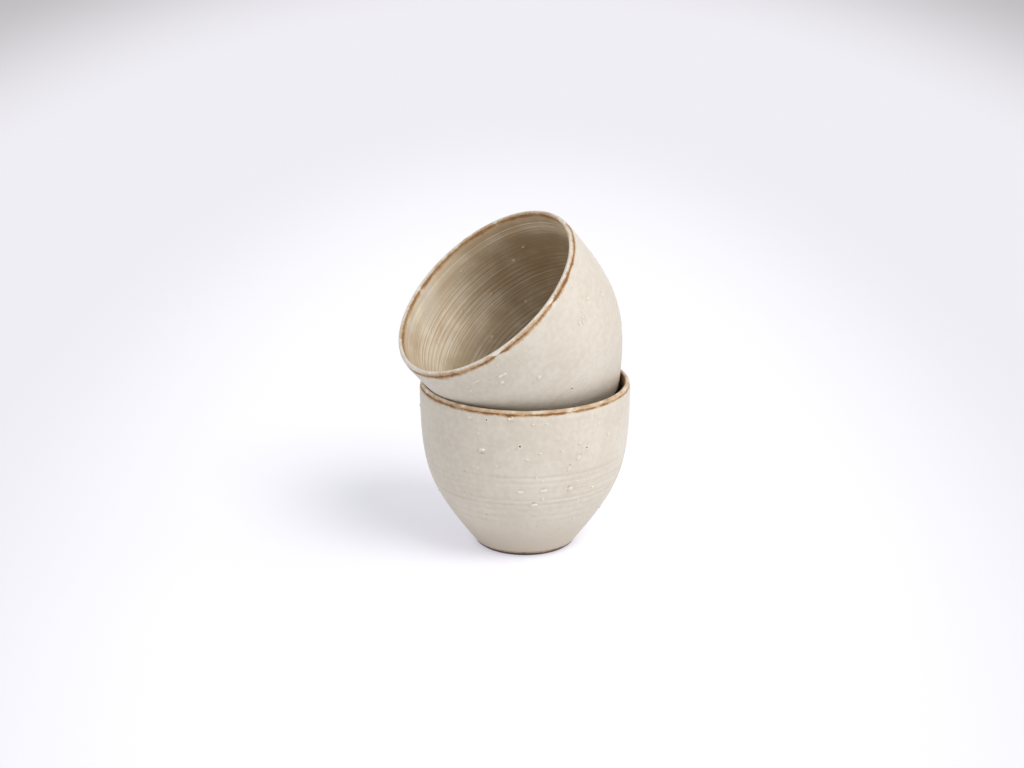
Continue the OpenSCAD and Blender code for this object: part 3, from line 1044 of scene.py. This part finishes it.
def bare_clay(colours, section, cup):
    """Clay darkened with painted contact shade at the foot, with lighter grog, under a veil of glaze at
    the lip.
    """
    finish = Finish(f"Bare clay of the {cup} cup", colours.clay_roughness)
    grog = finish.ramp(finish.noise(420, 4), 0.35, 0.65)
    clay = finish.blend(grog, colours.clay_dark_and_foot_shade, colours.clay_light_and_foot_shade)
    veil = finish.blend(finish.ramp(finish.noise(260, 4), 0.36, 0.62), colours.iron_tan, colours.oatmeal)
    lip = over_iron(finish, colours, section, veil)
    at_lip = finish.ramp(finish.along, section.outer_end - 0.002, section.outer_end - 0.001)
    tint = finish.blend(at_lip, clay, lip)
    roughness = finish.roughness(colours.clay_roughness, 0.08, 300)
    return finish.finish(tint, roughness, finish.noise(1100, 4), 0.0001)


# Operators


class TEACUPS_OT_clay_bodies(bpy.types.Operator):
    """Throw the clay bodies of both cups, bare at the foot and at both edges of the lip"""

    bl_idname = "teacups.clay_bodies"
    bl_label = "Clay bodies"

    def execute(self, context):
        shape, colours = context.scene.tea_cup_shape, context.scene.tea_cup_finish
        section = Section(shape)
        places = np.unique(np.concatenate([
            steps(0, section.outer_end, HIDDEN_STEP),
            steps(section.outer_end, section.crown_start, EDGE_STEP),
            steps(section.crown_start, section.crown_end, LIP_STEP),
            steps(section.crown_end, section.inner_start, EDGE_STEP),
            steps(section.inner_start, section.end, HIDDEN_STEP),
        ]))
        under = section.underside
        covered = np.zeros(len(places))
        for start, end in ((0, section.outer_end), (section.inner_start, section.end + 1)):
            covered += smooth(np.minimum(places - start, end - places) / shape.glaze_feather)
        clay = section.at(places) - shape.glaze_t * covered[:, None] * section.outward(places)
        # The last point lies on the axis, so that the spun floor closes there
        clay[-1, 0] = 0
        points = np.vstack([under, clay])
        along = np.concatenate([under[:, 0] - under[-1, 0] - shape.chamfer_w, places])
        body = throw("lower_cup_clay", points, along, np.zeros(len(points)), False, CLAY_TURN)
        worn = body.modifiers.new("Worn foot", "BEVEL")
        worn.width = shape.foot_round
        worn.segments = 3
        worn.limit_method = "ANGLE"
        worn.angle_limit = math.radians(30)
        bpy.ops.object.modifier_apply(modifier=worn.name)
        for cup, piece in pair(body).items():
            set_down(piece, cup, f"{cup}_clay_body", bare_clay(colours, section, cup))
        return {"FINISHED"}


class TEACUPS_OT_outer_glazes(bpy.types.Operator):
    """Coat the outsides of both cups, with turning lines, grit and pinholes in the glaze"""

    bl_idname = "teacups.outer_glazes"
    bl_label = "Outer glazes"

    def execute(self, context):
        marks = context.scene.tea_cup_marks
        section = Section(context.scene.tea_cup_shape)
        low = section.place_at(marks.line_z - marks.line_band / 2 - marks.line_width)
        high = section.place_at(marks.line_z + marks.line_band / 2 + marks.line_width)
        places = np.unique(np.concatenate([
            steps(0, low, OUTSIDE_STEP),
            steps(low, high, LINES_STEP),
            steps(high, section.outer_end, OUTSIDE_STEP),
        ]))
        coat = section.coat_section(places, HIDDEN_STEP)
        coat = throw("lower_cup_outer_coat", *coat, True, OUTSIDE_TURN)
        for cup, piece in pair(coat).items():
            press_turning_lines(piece, marks, cup)
            swell(piece, cup, marks.unevenness)
            grains, pits = outside_grit(section, marks, cup)
            add_grit(piece, marks, grains, pits, cup)
            finish = outer_glaze(context.scene.tea_cup_finish, section, cup)
            set_down(piece, cup, f"{cup}_outer_glaze", finish)
        return {"FINISHED"}


class TEACUPS_OT_rim_glazes(bpy.types.Operator):
    """Coat the tops of both lips, between the two lines where the iron breaks through"""

    bl_idname = "teacups.rim_glazes"
    bl_label = "Lip glazes"

    def execute(self, context):
        marks = context.scene.tea_cup_marks
        section = Section(context.scene.tea_cup_shape)
        places = steps(section.crown_start, section.crown_end, CROWN_STEP)
        coat = throw("lower_cup_rim_coat", *section.coat_section(places, LIP_STEP), True, CROWN_TURN)
        for cup, piece in pair(coat).items():
            swell(piece, cup, marks.unevenness)
            finish = rim_glaze(context.scene.tea_cup_finish, section, cup)
            set_down(piece, cup, f"{cup}_rim_glaze", finish)
        return {"FINISHED"}


class TEACUPS_OT_inner_glazes(bpy.types.Operator):
    """Coat the insides of both cups, over the rings that throwing left there"""

    bl_idname = "teacups.inner_glazes"
    bl_label = "Inner glazes"

    def execute(self, context):
        marks = context.scene.tea_cup_marks
        section = Section(context.scene.tea_cup_shape)
        places = steps(section.inner_start, section.end, INSIDE_STEP)
        points, along, face = section.coat_section(places, HIDDEN_STEP, backing_first=True)
        # The last point lies on the axis, so that the spun coat closes there
        points[-1, 0] = 0
        coat = throw("lower_cup_inner_coat", points, along, face, False, INSIDE_TURN)
        for cup, piece in pair(coat).items():
            press_throwing_rings(piece, marks, section, cup)
            swell(piece, cup, marks.unevenness)
            add_grit(piece, marks, inside_grit(section, marks, cup), [], cup)
            finish = inner_glaze(context.scene.tea_cup_finish, section, cup)
            set_down(piece, cup, f"{cup}_inner_glaze", finish)
        return {"FINISHED"}


class TEACUPS_OT_stage(bpy.types.Operator):
    """Lay the pale floor, hang the two lamps, light the cups from all round and set up the camera"""

    bl_idname = "teacups.stage"
    bl_label = "Stage"
    # How steeply up a direction goes where the light from all round is weakest, from 0 to 1
    overhead = 0.55

    def execute(self, context):
        stage = context.scene.tea_cup_stage
        bpy.ops.object.select_all(action="DESELECT")
        bpy.ops.mesh.primitive_plane_add(size=stage.floor_size)
        floor = context.object
        floor.name = "floor"
        floor.data.materials.append(self.floor_finish(stage))

        self.add_light("key_light", stage.key_toward, stage.key, stage.key_width)
        self.add_light("softbox", stage.sky_toward, stage.sky, stage.sky_width)

        back = Vector((0, -math.cos(stage.camera_elevation), math.sin(stage.camera_elevation)))
        bpy.ops.object.camera_add(location=Vector(stage.camera_aim) + stage.camera_distance * back)
        camera = context.object
        camera.name = "camera"
        camera.rotation_euler = back.to_track_quat("Z", "Y").to_euler()
        camera.data.lens = stage.lens
        camera.data.sensor_width = 36
        context.scene.camera = camera

        self.light_from_all_round(context.scene, stage)
        context.scene.view_settings.view_transform = "Standard"
        return {"FINISHED"}

    def add_light(self, name, toward, strength, width):
        toward = Vector(toward)
        bpy.ops.object.light_add(type="SUN", location=toward)
        light = bpy.context.object
        light.name = name
        light.rotation_euler = toward.to_track_quat("Z", "Y").to_euler()
        light.data.energy = strength
        light.data.angle = width

    def floor_finish(self, stage):
        """A painted pool of light, white around the cups and greying into painted shade far from them,
        with a matt surface that keeps their shadow.
        """
        material = bpy.data.materials.new("Floor")
        material.use_nodes = True
        nodes = Nodes(material.node_tree)
        shader = nodes.nodes["Principled BSDF"].inputs
        shader["Roughness"].default_value = 1.0
        shader["Specular IOR Level"].default_value = 0.0
        # The painted pool of light is an oval round the cups that runs away from the camera
        place = nodes.add("ShaderNodeTexCoord").outputs["Object"]
        oval = nodes.add("ShaderNodeVectorMath", {0: place, 1: (1.33, 0.4, 0)}, operation="MULTIPLY")
        away = nodes.add("ShaderNodeVectorMath", {0: oval.outputs["Vector"]}, operation="LENGTH")
        tone = nodes.add("ShaderNodeValToRGB", {"Fac": away.outputs["Value"]})
        tone.color_ramp.interpolation = "EASE"
        stops = (
            (0.15, stage.floor_near),
            (0.35, stage.floor_mid),
            (0.54, stage.floor_mid),
            (0.9, stage.floor_far),
        )
        while len(tone.color_ramp.elements) < len(stops):
            tone.color_ramp.elements.new(0.5)
        for element, (position, tint) in zip(tone.color_ramp.elements, stops):
            element.position = position
            element.color = (*tint, 1)
        tone = tone.outputs["Color"]
        nodes.feed(shader["Base Color"], tone)
        through = {0: 1.0, 6: tone, 7: stage.floor_glow}
        through = nodes.add("ShaderNodeMix", through, data_type="RGBA", blend_type="MULTIPLY")
        nodes.feed(shader["Emission Color"], through.outputs[2])
        glow = {0: nodes.seen(), 1: 1 - stage.glow_share, 2: stage.glow_share}
        glow = nodes.add("ShaderNodeMath", glow, operation="MULTIPLY_ADD")
        nodes.feed(shader["Emission Strength"], glow.outputs[0])
        return material

    def light_from_all_round(self, scene, stage):
        """Light from every side that is weaker overhead, and white for camera, mirror and glass rays."""
        scene.world = bpy.data.worlds.new("Studio")
        scene.world.use_nodes = True
        nodes = Nodes(scene.world.node_tree)
        light = nodes.nodes["Background"]
        side = nodes.add("ShaderNodeTexCoord").outputs["Generated"]
        fall = nodes.add("ShaderNodeMapRange", {
            "Value": nodes.add("ShaderNodeSeparateXYZ", {0: side}).outputs["Z"],
            "From Max": self.overhead,
            "To Min": stage.fill_low,
            "To Max": stage.fill_high,
        })
        nodes.feed(light.inputs["Color"], (1, 1, 1))
        nodes.feed(light.inputs["Strength"], fall.outputs["Result"])
        white = nodes.add("ShaderNodeBackground", {"Color": (1, 1, 1)})
        shown = {0: nodes.seen(), 1: light.outputs[0], 2: white.outputs[0]}
        mix = nodes.add("ShaderNodeMixShader", shown)
        nodes.feed(nodes.nodes["World Output"].inputs["Surface"], mix.outputs[0])


OPERATORS = (
    TEACUPS_OT_clay_bodies,
    TEACUPS_OT_outer_glazes,
    TEACUPS_OT_rim_glazes,
    TEACUPS_OT_inner_glazes,
    TEACUPS_OT_stage,
)


class TEACUPS_PT_sidebar(bpy.types.Panel):
    """Lists the pieces of the cups with their sizes and colours"""

    bl_idname = "TEACUPS_PT_sidebar"
    bl_label = "Tea cups"
    bl_space_type = "VIEW_3D"
    bl_region_type = "UI"
    bl_category = "Tea cups"

    def draw(self, context):
        for operator in OPERATORS:
            self.layout.operator(operator.bl_idname)
        for name, group in GROUPS.items():
            box = self.layout.box()
            box.label(text=group.__doc__)
            for key in group.__annotations__:
                box.prop(getattr(context.scene, name), key)


CLASSES = (*GROUPS.values(), *OPERATORS, TEACUPS_PT_sidebar)


def register():
    for made in CLASSES:
        bpy.utils.register_class(made)
    for name, group in GROUPS.items():
        setattr(bpy.types.Scene, name, bpy.props.PointerProperty(type=group))


def unregister():
    for name in GROUPS:
        delattr(bpy.types.Scene, name)
    for made in reversed(CLASSES):
        bpy.utils.unregister_class(made)


def main():
    register()
    bpy.ops.teacups.clay_bodies()
    bpy.ops.teacups.outer_glazes()
    bpy.ops.teacups.rim_glazes()
    bpy.ops.teacups.inner_glazes()
    bpy.ops.teacups.stage()


if __name__ == "__main__":
    main()
